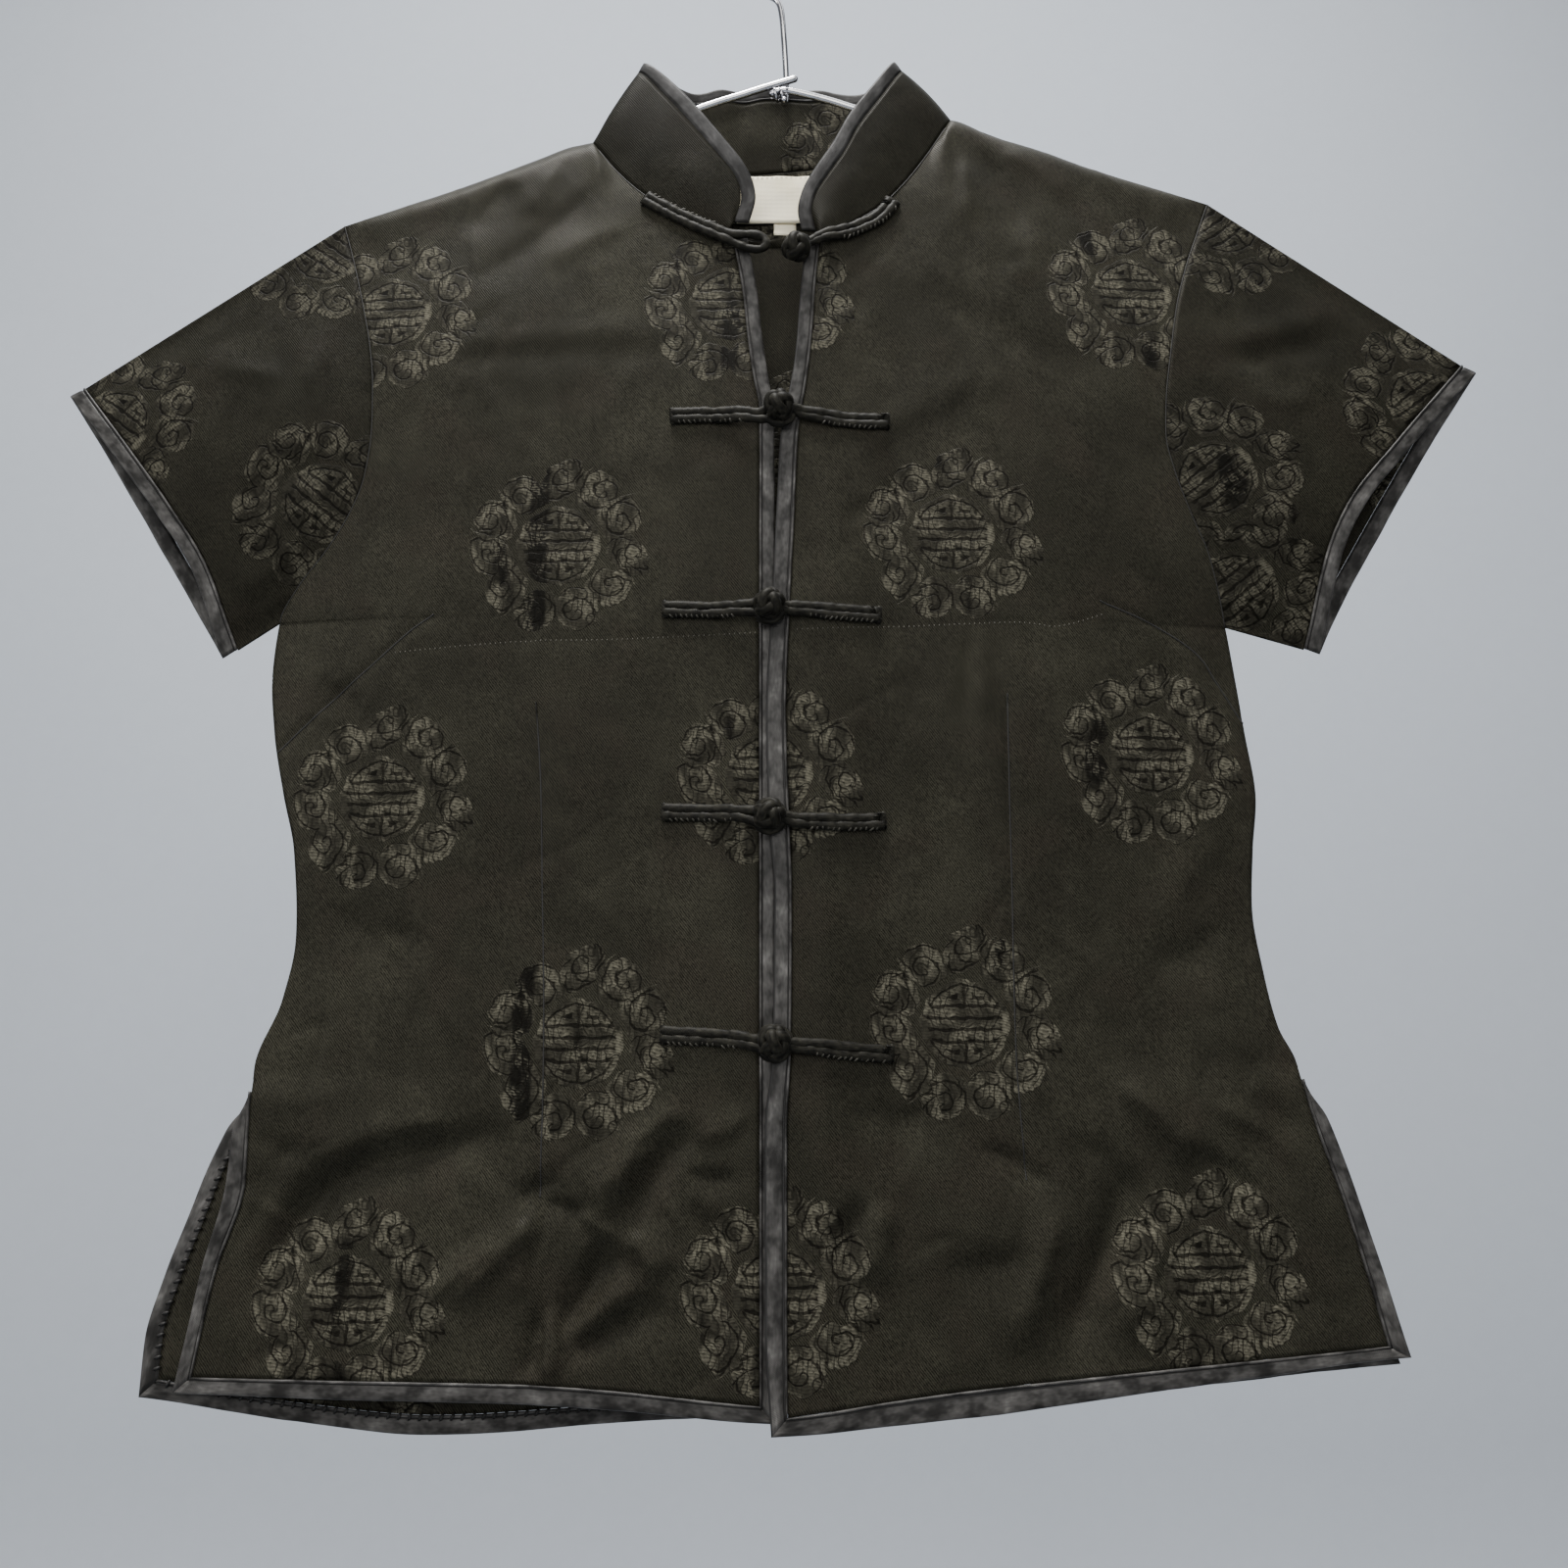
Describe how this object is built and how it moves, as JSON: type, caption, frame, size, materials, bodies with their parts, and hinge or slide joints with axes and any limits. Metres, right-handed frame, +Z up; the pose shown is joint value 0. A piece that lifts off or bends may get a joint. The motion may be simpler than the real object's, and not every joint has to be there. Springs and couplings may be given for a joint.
{
  "type": "frog button shirt on a wire hanger",
  "caption": "Short-sleeved figured satin shirt with a stand collar, bound edges, side slits and frog buttons, hung flat on a chrome wire hanger.",
  "frame": {"origin": "where a rod touches the inside of the hanger's hook", "axes": "+X to the right of someone looking at the front, +Y away from them, +Z up along the garment"},
  "size_m": [0.671, 0.0477, 0.7256],
  "materials": {
    "figured_satin": "black satin damask with woven round motifs",
    "plain_satin": "plain black satin",
    "binding_satin": "charcoal satin bias binding with corded piping",
    "frog_cord": "black satin bias tube",
    "label": "bare cream woven label",
    "chrome_wire": "polished"
  },
  "bodies": {
    "root": {"front_right": "figured_satin", "front_left": "figured_satin", "back_panel": "figured_satin", "sleeve_right": "figured_satin", "sleeve_left": "figured_satin", "collar": "plain_satin", "binding_centre_right": "binding_satin", "binding_centre_left": "binding_satin", "binding_hem_right": "binding_satin", "binding_hem_left": "binding_satin", "binding_slit_right": "binding_satin", "binding_slit_left": "binding_satin", "binding_back_slit_right": "binding_satin", "binding_back_slit_left": "binding_satin", "binding_back_hem": "binding_satin", "binding_sleeve_right": "binding_satin", "binding_sleeve_left": "binding_satin", "binding_collar": "binding_satin", "frog_1_loop": "frog_cord", "frog_1_stem": "frog_cord", "frog_1_knot": "frog_cord", "frog_2_loop": "frog_cord", "frog_2_stem": "frog_cord", "frog_2_knot": "frog_cord", "frog_3_loop": "frog_cord", "frog_3_stem": "frog_cord", "frog_3_knot": "frog_cord", "frog_4_loop": "frog_cord", "frog_4_stem": "frog_cord", "frog_4_knot": "frog_cord", "frog_5_loop": "frog_cord", "frog_5_stem": "frog_cord", "frog_5_knot": "frog_cord", "neck_label": "label", "size_tab": "label", "hanger_arm_right": "chrome_wire", "hanger_arm_left": "chrome_wire", "hanger_hook": "chrome_wire"}
  },
  "joints": []
}
